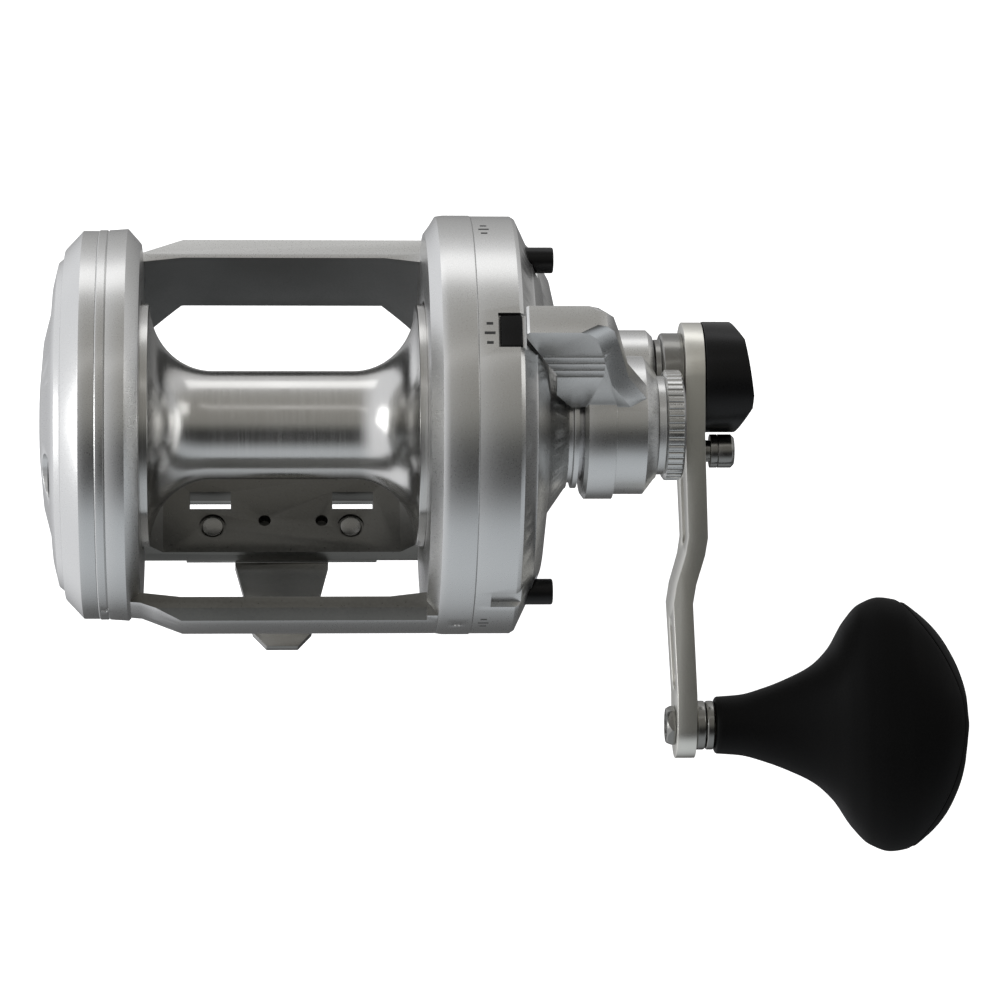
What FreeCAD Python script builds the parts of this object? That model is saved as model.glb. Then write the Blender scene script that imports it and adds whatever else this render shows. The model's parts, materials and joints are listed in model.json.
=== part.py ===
"""Two-speed lever-drag trolling reel, built as separate pieces.

Frame of the part: X runs along the spool axis towards the handle, Y towards the rod tip, Z up from
the rod.  The origin is the centre of the reel foot's underside, and all lengths are millimetres.
Sizes along X are counted from the middle of the spool, radii from the spool axis.
"""
import FreeCAD, Part
import math
import os
import Sketcher

V = FreeCAD.Vector
AXIS_X = V(1, 0, 0)

# ---------------------------------------------------------------- driving sizes (mm, degrees)
SIZES = {
    "axis_height": 52.0, "handle_axis_angle": -31.8,
    "running_gap": 0.04, "clearance": 0.1,
    # frame
    "wall_x": 35.0, "wall_thick": 3.0, "wall_hole_gap": 0.7,
    "left_ring_depth": 10.35, "left_radius": 48.4, "left_rim": 3.8,
    "right_ring_depth": 11.35, "right_radius": 52.3, "right_rim": 3.5,
    "bar_radius": 52.0, "bar_thick": 5.4, "bar_flare": 7.0,
    "front_bar_top": 5.4, "front_bar_height": 19.6,
    "rear_bar_top": -4.2, "rear_bar_height": 22.0,
    "base_drop": 42.5, "base_thick": 4.5, "base_half": 12.5,
    "window_long": 10.6, "window_wide": 5.0, "window_x": 18.4, "window_y": 2.8,
    "tap_hole": 1.6, "tap_left_x": -4.4, "tap_right_x": 10.3, "tap_y": -3.2,
    # foot
    "foot_length": 72.0, "foot_width": 24.0, "foot_tip_width": 15.0, "foot_tip_thick": 2.2,
    "foot_flange_length": 49.0, "foot_flange_thick": 2.0,
    "foot_screw_x": 17.8, "foot_screw_y": -4.7, "foot_screw": 2.75, "foot_screw_seat": 3.4,
    # left cover and clicker
    "cover_depth": 14.9, "cover_wall": 2.6, "seat_x": 23.0, "seat_z": 14.1,
    "clicker_radius": 5.2, "click_teeth": 36.0, "click_root": 17.0, "click_tip": 18.5,
    "click_pin_z": 25.0, "click_off": 0.35, "pin_radius": 1.5,
    # right side cover
    "plate_radius": 52.1, "plate_rim": 9.85, "plate_wall": 2.8, "plate_floor": 11.15,
    "collar_radius": 15.8, "collar_reach": 16.8, "spigot_radius": 9.0, "spigot_length": 9.0,
    "tower_radius": 12.0, "tower_reach": 21.5, "post_radius": 3.2, "post_inset": 8.1,
    "post_length": 7.9, "full_post": 126.0, "free_post": -10.0, "strike_angle": 85.0,
    "free_notch_angle": 4.0, "strike_half": 4.2, "strike_depth": 4.7, "strike_over": 0.6,
    # spool, drag and shaft
    "flange_radius": 30.3, "flange_setback": 2.0, "flange_thick": 3.0, "arbor_radius": 13.5,
    "fillet_run": 15.4, "shaft_radius": 4.0, "bearing_radius": 8.0, "bearing_width": 4.4,
    "drag_inset": 3.3, "drag_thick": 1.2, "drag_gap": 0.25, "drag_plate_inset": 2.3,
    "drag_plate_thick": 2.3,
    # gears
    "tooth_module": 1.0, "high_teeth": 42.0, "high_pinion_teeth": 12.0,
    "low_teeth": 36.0, "low_pinion_teeth": 18.0, "gear_width": 5.0, "gear_backlash": 0.18,
    "low_gear_offset": 3.7, "gear_spacing": 1.3,
    "ratchet_radius": 13.0, "ratchet_teeth": 20.0, "ratchet_width": 2.6, "pawl_reach": 18.0,
    "pawl_angle": 72.0, "pawl_lift": 7.0,
    # lever and preset knob
    "lever_overreach": 3.4, "lever_half": 3.65, "lever_hub": 18.5, "lever_gap": 1.3,
    "lever_hub_length": 18.7, "bevel_wide": 4.2, "bevel_narrow": 2.0,
    "lever_angle": 86.0, "knob_radius": 13.85, "knob_length": 6.55,
    "knob_spacer": 12.4, "knob_spacer_width": 1.7, "knurls": 48.0,
    # handle
    "handle_shaft": 5.0, "handle_collar": 11.25, "blade_thick": 5.0, "blade_offset": 4.85,
    "blade_bulge": 1.0, "blade_crank": 2.7, "blade_end_set": 1.4, "throw": 89.5,
    "blade_hub": 14.0, "blade_tip": 8.4, "blade_waist": 9.4, "hang_angle": 211.0,
    "cap_radius": 14.2, "cap_thin": 8.6, "cap_rise": 3.7, "shift_button": 7.0, "shift_rod": 2.0,
    "release_s": 19.0, "release_head": 4.3, "spindle_radius": 3.0, "nut_radius": 5.2,
    "ring_radius": 6.3, "grip_offset": 7.7, "grip_length": 65.4, "grip_neck": 7.3,
    "grip_half_width": 33.0, "grip_half_depth": 15.0, "grip_cap_length": 9.8,
}


class Size(float):
    """A number that remembers the sheet expression it comes from."""

    def __new__(cls, value, text):
        made = float.__new__(cls, value)
        made.text = text
        return made

    @staticmethod
    def text_of(other):
        return getattr(other, "text", repr(float(other)))

    def _join(self, other, value, sign, swap=False):
        left, right = self.text_of(self), self.text_of(other)
        if swap:
            left, right = right, left
        return Size(value, "(%s %s %s)" % (left, sign, right))

    def __add__(self, other):
        return self._join(other, float(self) + float(other), "+")

    __radd__ = __add__

    def __sub__(self, other):
        return self._join(other, float(self) - float(other), "-")

    def __rsub__(self, other):
        return self._join(other, float(other) - float(self), "-", swap=True)

    def __mul__(self, other):
        return self._join(other, float(self) * float(other), "*")

    __rmul__ = __mul__

    def __truediv__(self, other):
        return self._join(other, float(self) / float(other), "/")

    def __neg__(self):
        return Size(-float(self), "(0 - %s)" % self.text)


doc = FreeCAD.newDocument("TrollingReel")
sheet = doc.addObject("Spreadsheet::Sheet", "dims")
for row, (alias, value) in enumerate(SIZES.items(), start=1):
    sheet.set("A%d" % row, alias)
    sheet.set("B%d" % row, str(value))
    sheet.setAlias("B%d" % row, alias)
doc.recompute()


def cosine(angle):
    return Size(math.cos(math.radians(angle)), "cos(%s)" % angle.text)


def sine(angle):
    return Size(math.sin(math.radians(angle)), "sin(%s)" % angle.text)


class Dims:
    """Attribute access to the sheet's cells, as Size values."""

    def __getattr__(self, alias):
        return Size(sheet.get(alias), "dims." + alias)


d = Dims()
nodes = []

# the handle axis stands at the gears' centre distance from the spool axis
gear_centres = (d.high_teeth + d.high_pinion_teeth) * d.tooth_module / 2
handle_axis_y = gear_centres * cosine(d.handle_axis_angle)
handle_axis_z = gear_centres * sine(d.handle_axis_angle)
# direction of the hanging handle, seen along X
hang_y = cosine(d.hang_angle)
hang_z = sine(d.hang_angle)
# shared places along X, each worked out from the driving sizes
left_seam = d.wall_x + d.left_ring_depth
right_seam = d.wall_x + d.right_ring_depth
wall_back = d.wall_x + d.wall_thick
rim_end = right_seam + d.plate_rim
plate_inside = right_seam + d.plate_floor
bearing_boss = plate_inside - 0.9
flange_x = d.wall_x - d.flange_setback
spool_face = flange_x + d.flange_thick
arbor_half = flange_x - d.fillet_run
wall_hole = d.flange_radius + d.wall_hole_gap
drag_radius = d.flange_radius - d.drag_inset
drag_plate_radius = d.flange_radius - d.drag_plate_inset
plate_cavity = d.plate_radius - d.plate_wall
post_circle = d.plate_radius - d.post_inset
lever_reach = d.plate_radius + d.lever_overreach
drag_plate_x = spool_face + d.drag_thick + d.drag_gap
low_gear_x = wall_back + d.low_gear_offset
high_gear_x = low_gear_x + d.gear_width + d.gear_spacing
ratchet_x = high_gear_x + d.gear_width + 0.2
collar_end = rim_end + d.collar_reach
spigot_end = collar_end + d.spigot_length
tower_end = collar_end + d.tower_reach
lever_hub_x = collar_end + d.lever_gap
lever_face = lever_hub_x + d.lever_hub_length
knob_face = lever_face + 0.2 + d.knob_length
blade_x = knob_face + d.blade_offset
blade_bulge_x = blade_x + d.blade_bulge
blade_crank_x = blade_x - d.blade_crank
blade_end_x = blade_x - d.blade_end_set
grip_start = blade_end_x + d.grip_offset
grip_end = grip_start + d.grip_length
grip_cap_x = grip_end - d.grip_cap_length


# ---------------------------------------------------------------- helpers
def bind(item, prop, size):
    """Tie one property to its sheet expression."""
    item.setExpression(prop, Size.text_of(size))


def keep(item, label, y=None, z=None):
    """Register a piece under its node name and place it on an axis parallel to X."""
    item.Label = label
    if y is not None:
        bind(item, "Placement.Base.y", y)
    bind(item, "Placement.Base.z", d.axis_height if z is None else z)
    nodes.append(item)
    return item


def on_handle(item, label):
    """Register a piece that is drawn about the handle axis."""
    return keep(item, label, handle_axis_y, d.axis_height + handle_axis_z)


def plane_of(body, role):
    return next(p for p in body.Origin.OriginFeatures if p.Role == role)


def draw(sketch, points):
    """Closed outline of straight lines; both coordinates of every corner are bound."""
    count = len(points)
    for i in range(count):
        a, b = points[i], points[(i + 1) % count]
        sketch.addGeometry(Part.LineSegment(V(a[0], a[1], 0), V(b[0], b[1], 0)), False)
    for i in range(count):
        sketch.addConstraint(Sketcher.Constraint("Coincident", i, 2, (i + 1) % count, 1))
    for i, point in enumerate(points):
        for kind, size in (("DistanceX", point[0]), ("DistanceY", point[1])):
            index = sketch.addConstraint(Sketcher.Constraint(kind, -1, 1, i, 1, float(size)))
            if hasattr(size, "text"):
                sketch.setExpression("Constraints[%d]" % index, size.text)


def turned(name, points):
    """A turned piece: the outline (x, radius) revolved about the X axis."""
    body = doc.addObject("PartDesign::Body", name)
    sketch = body.newObject("Sketcher::SketchObject", name + "_profile")
    sketch.AttachmentSupport = [(plane_of(body, "XY_Plane"), "")]
    sketch.MapMode = "FlatFace"
    draw(sketch, points)
    turn = body.newObject("PartDesign::Revolution", name + "_turn")
    turn.Profile = sketch
    turn.ReferenceAxis = (sketch, ["H_Axis"])
    turn.Angle = 360.0
    return body


def ring(name, x0, x1, inner, outer):
    """A plain ring or bush between two stations."""
    return turned(name, [(x0, inner), (x1, inner), (x1, outer), (x0, outer)])


def rod(name, x0, x1, radius):
    """A Part::Cylinder lying along X."""
    item = doc.addObject("Part::Cylinder", name)
    bind(item, "Radius", radius)
    bind(item, "Height", x1 - x0)
    item.Placement = FreeCAD.Placement(V(0, 0, 0), FreeCAD.Rotation(V(0, 1, 0), 90))
    bind(item, "Placement.Base.x", x0)
    return item


def made(name, shape):
    """A piece whose shape is worked out with Part's own functions."""
    item = doc.addObject("Part::Feature", name)
    item.Shape = shape
    return item


def cyl(x0, x1, radius, y=0.0, z=0.0):
    return Part.makeCylinder(radius, x1 - x0, V(x0, y, z), AXIS_X)


def cone(x0, x1, r0, r1, y=0.0, z=0.0):
    return Part.makeCone(r0, r1, x1 - x0, V(x0, y, z), AXIS_X)


def box(x0, x1, y0, y1, z0, z1):
    return Part.makeBox(x1 - x0, y1 - y0, z1 - z0, V(x0, y0, z0))


def revolved(points):
    """Solid of the outline (x, radius) turned about the X axis."""
    corners = [V(x, r, 0) for x, r in points]
    face = Part.Face(Part.makePolygon(corners + corners[:1]))
    return face.revolve(V(0, 0, 0), AXIS_X, 360)


def prism_x(points, x0, x1):
    """Outline in the YZ plane pushed along X."""
    corners = [V(x0, y, z) for y, z in points]
    face = Part.Face(Part.makePolygon(corners + corners[:1]))
    return face.extrude(V(x1 - x0, 0, 0))


def spun(shape, degrees):
    """A copy turned about the spool axis."""
    copy = shape.copy()
    copy.rotate(V(0, 0, 0), AXIS_X, degrees)
    return copy


def polar(radius, degrees, y=0.0, z=0.0):
    a = math.radians(degrees)
    return (y + radius * math.cos(a), z + radius * math.sin(a))


def station(angle):
    """Turn that carries +Z to a place on the rim, counted from the angler's side upwards."""
    return 90.0 - angle


# ---------------------------------------------------------------- frame
def frame():
    """One machined piece: two cupped rings, front and rear bars and the base plate."""
    left_inner = d.left_radius - d.left_rim
    right_inner = d.right_radius - d.right_rim
    left = revolved([
        (-left_seam, left_inner), (-left_seam, d.left_radius - 0.3),
        (-left_seam + 0.3, d.left_radius), (-left_seam + 2.1, d.left_radius),
        (-left_seam + 2.35, d.left_radius - 0.35), (-left_seam + 2.6, d.left_radius),
        (-wall_back - 0.2, d.left_radius + 0.3), (-d.wall_x - 0.8, d.left_radius - 2.4),
        (-d.wall_x, d.left_radius - 3.4), (-d.wall_x, wall_hole),
        (-wall_back, wall_hole), (-wall_back, left_inner)])
    right = revolved([
        (d.wall_x, wall_hole), (d.wall_x, d.right_radius - 4.4),
        (d.wall_x + 1.35, d.right_radius - 2.6), (d.wall_x + 2.75, d.right_radius - 0.3),
        (d.wall_x + 4.5, d.right_radius), (right_seam - 0.3, d.right_radius),
        (right_seam, d.right_radius - 0.3), (right_seam, right_inner),
        (wall_back, right_inner), (wall_back, wall_hole)])
    solid = left.fuse([right, front_bar(), rear_bar(), base_plate()])
    for x in (-left_seam + 1.6, right_seam - 3.8):
        radius = d.left_radius if x < 0 else d.right_radius
        hole = Part.makeCylinder(1.0, 3.0, V(x, 0, radius - 2.2), V(0, 0, 1))
        solid = solid.cut(spun(hole, station(-11.0)))
    return keep(made("frame", solid.removeSplitter()), "frame")


def bar_blank(inner_left, inner_right):
    """Turned skin that the bars are cut from: it tapers down to the smaller left ring."""
    inner = d.bar_radius - d.bar_thick
    return revolved([
        (-wall_back + 0.6, inner_left), (-wall_back + 0.6, d.left_radius - 0.4),
        (-d.wall_x, d.left_radius - 0.2), (-d.wall_x + 10.0, d.bar_radius),
        (wall_back - 0.4, d.bar_radius), (wall_back - 0.4, inner_right),
        (d.wall_x - 9.0, inner), (-d.wall_x + 10.0, inner)])


def bar_window(side, low, high):
    """Slab between two heights, deepened at both ends where the bar flares into the rings."""
    reach = d.bar_radius + 6.0
    flare = d.bar_flare
    span = d.wall_x - 0.2
    corners = [(-wall_back, low - flare), (-span, low - flare), (-span + flare * 1.3, low),
               (span - flare * 1.3, low), (span, low - flare), (wall_back, low - flare),
               (wall_back, high), (-wall_back, high)]
    points = [V(x, 0, z) for x, z in corners]
    face = Part.Face(Part.makePolygon(points + points[:1]))
    return face.extrude(V(0, side * reach, 0))


def front_bar():
    low = d.front_bar_top - d.front_bar_height
    inner = d.bar_radius - d.bar_thick
    skin = bar_blank(inner - 1.5, inner - 1.5)
    return skin.common(bar_window(1.0, low, d.front_bar_top))


def rear_bar():
    low = d.rear_bar_top - d.rear_bar_height
    inner = d.bar_radius - d.bar_thick
    skin = bar_blank(inner - 1.5, inner - 1.5)
    bar = skin.common(bar_window(-1.0, low, d.rear_bar_top))
    # bevel along the upper outer edge
    edge_y = -d.bar_radius - 2.0
    bevel = prism_x([(edge_y, d.rear_bar_top + 1.0), (edge_y + 5.2, d.rear_bar_top + 1.0),
                     (edge_y + 2.0, d.rear_bar_top - 3.6), (edge_y, d.rear_bar_top - 5.0)],
                    -d.wall_x, d.wall_x)
    return bar.cut(bevel)


def base_plate():
    top = -d.base_drop
    low = top - d.base_thick
    half = d.base_half
    cut = 4.5
    outline = [(-wall_back + 0.5, -half), (wall_back - 0.5, -half), (wall_back - 0.5, half),
               (-wall_back + 0.5, half)]
    points = [V(x, y, low) for x, y in outline]
    plate = Part.Face(Part.makePolygon(points + points[:1])).extrude(V(0, 0, d.base_thick))
    for side in (-1, 1):
        # webs that rise from the plate to each ring's wall
        x0 = side * (wall_back - 0.5)
        web = Part.Face(Part.makePolygon([
            V(x0, -half, top), V(x0, -half, top + cut), V(side * d.wall_x, -half, top + cut),
            V(side * (d.wall_x - cut), -half, top), V(x0, -half, top)]))
        plate = plate.fuse(web.extrude(V(0, 2 * half, 0)))
        x_mid = side * d.window_x
        plate = plate.cut(box(x_mid - d.window_long / 2, x_mid + d.window_long / 2,
                              d.window_y - d.window_wide / 2, d.window_y + d.window_wide / 2,
                              low - 1, top + 1))
        x_screw = side * d.foot_screw_x
        plate = plate.cut(Part.makeCylinder(d.foot_screw, 20, V(x_screw, d.foot_screw_y, low - 1)))
        plate = plate.cut(Part.makeCylinder(d.foot_screw_seat, 3,
                                            V(x_screw, d.foot_screw_y, top - 1.0)))
    for x in (d.tap_left_x, d.tap_right_x):
        plate = plate.cut(Part.makeCylinder(d.tap_hole, 3.5, V(x, d.tap_y, top - 3.0)))
    return plate


# ---------------------------------------------------------------- foot
def foot():
    """Saddle foot: a flange under the base plate and two tongues that taper to rounded tips."""
    flange_top = d.axis_height - d.base_drop - d.base_thick
    half_flange = d.foot_flange_length / 2
    flange_low = flange_top - d.foot_flange_thick
    solid = box(-half_flange, half_flange, -d.base_half + 0.5, d.base_half - 0.5,
                flange_low, flange_top)
    tongue_top = flange_low
    half, tip = d.foot_width / 2, d.foot_tip_width / 2
    reach = d.foot_length / 2
    for side in (-1, 1):
        outline = [V(-half, 0, 0), V(-half, side * d.base_half, 0),
                   V(-tip - 1.5, side * (reach - tip - 4), 0), V(-tip, side * (reach - 4), 0),
                   V(-tip + 3.5, side * reach, 0), V(tip - 3.5, side * reach, 0),
                   V(tip, side * (reach - 4), 0), V(tip + 1.5, side * (reach - tip - 4), 0),
                   V(half, side * d.base_half, 0), V(half, 0, 0)]
        slab = Part.Face(Part.makePolygon(outline + outline[:1])).extrude(V(0, 0, flange_top))
        side_view = [V(0, 0, 0), V(0, side * reach, 0), V(0, side * reach, d.foot_tip_thick),
                     V(0, side * (d.base_half + 3), tongue_top - 0.4),
                     V(0, side * (d.base_half - 0.5), tongue_top + 0.2), V(0, 0, tongue_top + 0.2)]
        wedge = Part.Face(Part.makePolygon(side_view + side_view[:1]))
        solid = solid.fuse(slab.common(wedge.extrude(V(100, 0, 0)).fuse(
            wedge.extrude(V(-100, 0, 0)))))
    for side in (-1, 1):
        x = side * d.foot_screw_x
        solid = solid.cut(Part.makeCylinder(d.foot_screw, 30, V(x, d.foot_screw_y, -1)))
        x = side * d.window_x
        solid = solid.cut(box(x - d.window_long / 2, x + d.window_long / 2,
                              d.window_y - d.window_wide / 2, d.window_y + d.window_wide / 2,
                              -1, flange_top + 1))
    return keep(made("foot", solid.removeSplitter()), "foot", z=0.0)


def foot_screws():
    """Two screws from below, their ends riveted flat in the countersinks of the base plate."""
    top = d.axis_height - d.base_drop
    low = top - d.base_thick - d.foot_flange_thick
    shapes = []
    for side in (-1, 1):
        at = V(side * d.foot_screw_x, d.foot_screw_y, low)
        shank = Part.makeCylinder(d.foot_screw, top - low - 0.3, at)
        head = Part.makeCone(3.6, 4.8, 1.6, at - V(0, 0, 1.6))
        shapes.append(shank.fuse(head.mirror(at - V(0, 0, 0.8), V(0, 0, 1))))
    return keep(made("foot_screws", Part.makeCompound(shapes)), "foot_screws", z=0.0)


# ---------------------------------------------------------------- left side
def left_cover():
    """Domed palm cover with the bearing boss, the clicker recess and the click pin's boss."""
    seam, depth, wall = left_seam, d.cover_depth, d.cover_wall
    rim = d.left_radius - 0.2
    top = seam + depth
    outer = [(-top, 0.0), (-top + 0.35, 11.5), (-top + 1.35, 21.5), (-top + 3.25, 29.0),
             (-top + 3.85, 35.5), (-top + 5.0, rim - 7.9), (-top + 6.45, rim - 6.7),
             (-top + 6.65, rim - 4.7), (-top + 11.05, rim), (-seam, rim)]
    lip = d.left_radius - d.left_rim - 0.05
    inner = [(-seam, lip), (-seam + 1.5, lip), (-seam + 1.5, lip - 2), (-seam - 4.5, lip - 2),
             (-top + 8.2, 37.0), (-top + 3.85 + wall, 33.5), (-top + 3.3 + wall, 28.5),
             (-top + 1.4 + wall, 21.0), (-top + 0.4 + wall, 11.0), (-top + 9.7, 11.0),
             (-top + 9.7, d.bearing_radius), (-top + 5.2, d.bearing_radius), (-top + 5.2, 0.0)]
    solid = revolved(outer + inner)
    y, z = -d.seat_x, d.seat_z
    solid = solid.fuse(cyl(-top + 4.0, -top + 9.3, d.clicker_radius + 2.0, y, z))
    solid = solid.cut(cyl(-top - 1, -top + 6.8, d.clicker_radius + 0.3, y, z))
    solid = solid.cut(cyl(-top, -top + 12, 2.0 + d.running_gap, y, z))
    pin_boss = cyl(-top + 3.5, -top + 9.0, 4.0, 0.0, d.click_pin_z)
    solid = solid.fuse(pin_boss)
    solid = solid.cut(cyl(-top + 5.0, -top + 10, d.pin_radius, 0.0, d.click_pin_z))
    return keep(made("left_cover", solid.removeSplitter()), "left_side_cover")


def clicker():
    """Button in the cover's recess, with its stem."""
    top = left_seam + d.cover_depth
    r = d.clicker_radius
    body = turned("clicker_button", [
        (-top + 3.1, 0.0), (-top + 3.1, r - 0.8), (-top + 3.7, r), (-top + 5.4, r),
        (-top + 5.4, 2.0), (-top + 11.0, 2.0), (-top + 11.0, 0.0)])
    keep(body, "clicker_button", -d.seat_x, d.axis_height + d.seat_z)


def left_bearing():
    top = left_seam + d.cover_depth
    x0 = -top + 5.2
    keep(ring("left_bearing", x0, x0 + d.bearing_width, d.shaft_radius + d.running_gap,
              d.bearing_radius), "left_shaft_bearing")


def click_parts():
    """Toothed click ring on the spool, and the sprung pawl, drawn at its off position."""
    x0, x1 = -spool_face - 2.6, -spool_face - 0.4
    teeth = int(d.click_teeth)
    points = []
    for i in range(teeth):
        mid = 90.0 + 360.0 * (i + 0.5) / teeth
        for radius, turn in ((d.click_root, -3.6), (d.click_tip, -1.2), (d.click_tip, 1.2),
                             (d.click_root, 3.6)):
            points.append(polar(radius, mid + turn))
    gear = prism_x(points, x0, x1).cut(cyl(x0 - 1, x1 + 1, 11.0))
    keep(made("click_ring", gear), "click_ring")
    pin_z = d.click_pin_z
    nose = d.click_tip + d.click_off
    arm = prism_x([(-2.6, pin_z - 1.0), (-0.5, nose), (0.5, nose), (2.6, pin_z - 1.0)], x0, x1)
    pawl = cyl(x0, x1, 3.2, 0.0, pin_z).fuse(arm)
    pawl = pawl.cut(cyl(x0 - 1, x1 + 1, d.pin_radius + d.running_gap, 0.0, pin_z))
    keep(made("click_pawl", pawl.removeSplitter()), "click_pawl")
    top = left_seam + d.cover_depth
    keep(rod("click_pin", -top + 5.0, x1, d.pin_radius), "click_pin",
         z=d.axis_height + d.click_pin_z)


# ---------------------------------------------------------------- right side
def right_plate():
    """Right side cover: rim, stepped cone, collar and spigot for the lever, gear tower."""
    seam, radius = right_seam, d.plate_radius
    rim = rim_end
    hy, hz = handle_axis_y, handle_axis_z
    outer = [(seam, radius), (rim, radius), (rim + 1.0, radius - 0.6), (rim + 4.0, radius - 6.9),
             (rim + 4.55, radius - 7.35), (rim + 7.3, radius - 14.6),
             (rim + 9.2, d.collar_radius + 7.0),
             (collar_end - 2.9, d.collar_radius + 0.2), (collar_end - 2.6, d.collar_radius),
             (collar_end - 2.4, d.collar_radius - 1.4),
             (collar_end - 1.4, d.collar_radius - 1.4), (collar_end - 1.2, d.collar_radius),
             (collar_end, d.collar_radius), (collar_end, d.spigot_radius),
             (spigot_end, d.spigot_radius), (spigot_end, d.shaft_radius + 1)]
    lip = d.right_radius - d.right_rim - 0.05
    inner = [(plate_inside, d.shaft_radius + 1), (plate_inside, plate_cavity - 6.3),
             (plate_inside - 3.0, plate_cavity), (seam + 0.8, plate_cavity),
             (seam + 0.8, lip - 1.8), (seam - 1.8, lip - 1.8), (seam - 1.8, lip), (seam, lip)]
    solid = revolved(outer + inner)
    case = cone(rim + 2.0, rim + 7.5, 36.0, 32.3, hy, hz).fuse(
        [cone(rim + 7.5, rim + 11.5, 32.3, 25.0, hy, hz),
         cone(rim + 11.5, rim + 12.8, 25.0, 19.5, hy, hz)])
    case = case.common(cyl(rim, rim + 20, radius - 6.9))
    tower = revolved([(rim + 6.0, 0.0), (rim + 6.0, d.tower_radius),
                      (tower_end - 1.5, d.tower_radius), (tower_end, d.tower_radius - 1.5),
                      (tower_end, 0.0)])
    tower.translate(V(0, hy, hz))
    solid = solid.fuse([case, tower])
    solid = solid.cut(ring_space(collar_end, tower_end + 5, d.spigot_radius,
                                 d.lever_hub + 0.7))
    for y, z in ((0.0, 0.0), (hy, hz)):
        solid = solid.fuse(cyl(bearing_boss, plate_inside + 1, 10.6, y, z))
    for y, z in ((0.0, 0.0), (hy, hz)):
        solid = solid.cut(cyl(bearing_boss - 1, bearing_boss + d.bearing_width + 0.1,
                              d.bearing_radius, y, z))
    solid = solid.cut(cyl(bearing_boss - 1, spigot_end + 1, d.shaft_radius + 1))
    solid = solid.cut(cyl(bearing_boss - 1, tower_end + 1, d.handle_shaft + 1.1, hy, hz))
    y, z = polar(d.pawl_reach, d.pawl_angle, hy, hz)
    solid = solid.cut(cyl(plate_inside, plate_inside + 1.5, d.pin_radius, y, z))
    for angle in (d.full_post, d.free_post):
        y, z = polar(post_circle, 180.0 - angle)
        solid = solid.cut(cyl(plate_inside + 2.2, rim + 20, d.post_radius + 1.2, y, z))
        solid = solid.cut(cyl(plate_inside + 0.8, rim + 20, d.post_radius, y, z))
    pocket = box(rim - 5.2, rim + 3.0, -4.6, 4.6, radius - 1.9, radius + 1)
    half = d.strike_half + d.clearance
    slot = box(rim - d.strike_depth - d.clearance, rim + d.strike_over + d.clearance, -half, half,
               plate_cavity - 4, radius)
    notch = box(rim - 6.0, rim + 3.0, -3.0, 3.0, radius - 1.6, radius + 1)
    solid = solid.cut([spun(pocket, station(d.strike_angle)), spun(slot, station(d.strike_angle)),
                       spun(notch, station(d.free_notch_angle))])
    return keep(made("right_plate", solid.removeSplitter()), "right_side_cover")


def ring_space(x0, x1, inner, outer):
    return cyl(x0, x1, outer).cut(cyl(x0 - 1, x1 + 1, inner))


def stop_posts():
    """Two posts that end the lever's travel."""
    shapes = []
    for angle in (d.full_post, d.free_post):
        y, z = polar(post_circle, 180.0 - angle)
        seat = plate_inside + 0.8
        shapes.append(cyl(seat, seat + d.post_length, d.post_radius, y, z))
    keep(made("stop_posts", Part.makeCompound(shapes)), "lever_stop_posts")


def strike_button():
    """Spring button in the rim window; pressing it in lets the lever pass the strike setting."""
    rim = rim_end
    block = box(rim - d.strike_depth, rim + d.strike_over, -d.strike_half, d.strike_half,
                plate_cavity - 2.0, d.plate_radius - 0.5)
    keep(made("strike_button", spun(block, station(d.strike_angle))), "strike_button")


def set_screws():
    """Small lock screws in the rims of both rings."""
    shapes = []
    for x, radius in ((-left_seam + 1.6, d.left_radius), (right_seam - 3.8, d.right_radius)):
        screw = Part.makeCylinder(1.0, 1.6, V(x, 0, radius - 2.2), V(0, 0, 1))
        shapes.append(spun(screw, station(-11.0)))
    keep(made("set_screws", Part.makeCompound(shapes)), "ring_set_screws")


def right_bearings():
    x0 = bearing_boss
    keep(ring("right_bearing", x0, x0 + d.bearing_width, d.shaft_radius + d.running_gap,
              d.bearing_radius), "right_shaft_bearing")
    on_handle(ring("handle_bearing", x0, x0 + d.bearing_width, d.handle_shaft + d.running_gap,
                   d.bearing_radius), "handle_shaft_bearing")
    on_handle(ring("handle_bushing", tower_end - 6.5, tower_end - 0.3,
                   d.handle_shaft + d.running_gap, d.handle_shaft + 1.1), "handle_shaft_bushing")


def fixed_cam():
    """Cam track that the lever's skirt rides over."""
    keep(turned("fixed_cam", [
        (collar_end, d.spigot_radius), (collar_end + 2.6, d.spigot_radius),
        (collar_end + 2.6, 12.2), (collar_end + 1.6, 13.0), (collar_end, 13.0)]),
        "fixed_drag_cam")


# ---------------------------------------------------------------- spool and drag
def spool():
    """Turned spool: flat arbor, large hollow fillets, thin flanges, bearing seats."""
    fx, face, arbor, half = flange_x, spool_face, d.arbor_radius, arbor_half
    steps = 9
    left, right = [], []
    for i in range(steps + 1):
        t = math.radians(90.0 * i / steps)
        run = (fx - half) * math.sin(t)
        rise = arbor + (d.flange_radius - 0.3 - arbor) * (1 - math.cos(t))
        right.append((half + run, rise))
        left.append((-half - run, rise))
    seat = d.bearing_radius
    points = list(reversed(left))
    points += right
    points += [(fx, d.flange_radius - 0.1), (fx + 0.2, d.flange_radius),
               (face - 0.3, d.flange_radius), (face, d.flange_radius - 0.3), (face, seat),
               (face - d.bearing_width - 1.6, seat),
               (face - d.bearing_width - 1.6, d.shaft_radius + 0.8),
               (-face + 2.0, d.shaft_radius + 0.8), (-face + 2.0, seat), (-face - 2.7, seat),
               (-face - 2.7, 11.0), (-face, 11.0), (-face + 2.0, 13.0), (-face + 1.0, 26.0),
               (-face, 27.0), (-face, d.flange_radius - 0.3), (-face + 0.3, d.flange_radius),
               (-fx - 0.2, d.flange_radius), (-fx, d.flange_radius - 0.1)]
    keep(turned("spool", points), "spool")


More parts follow.
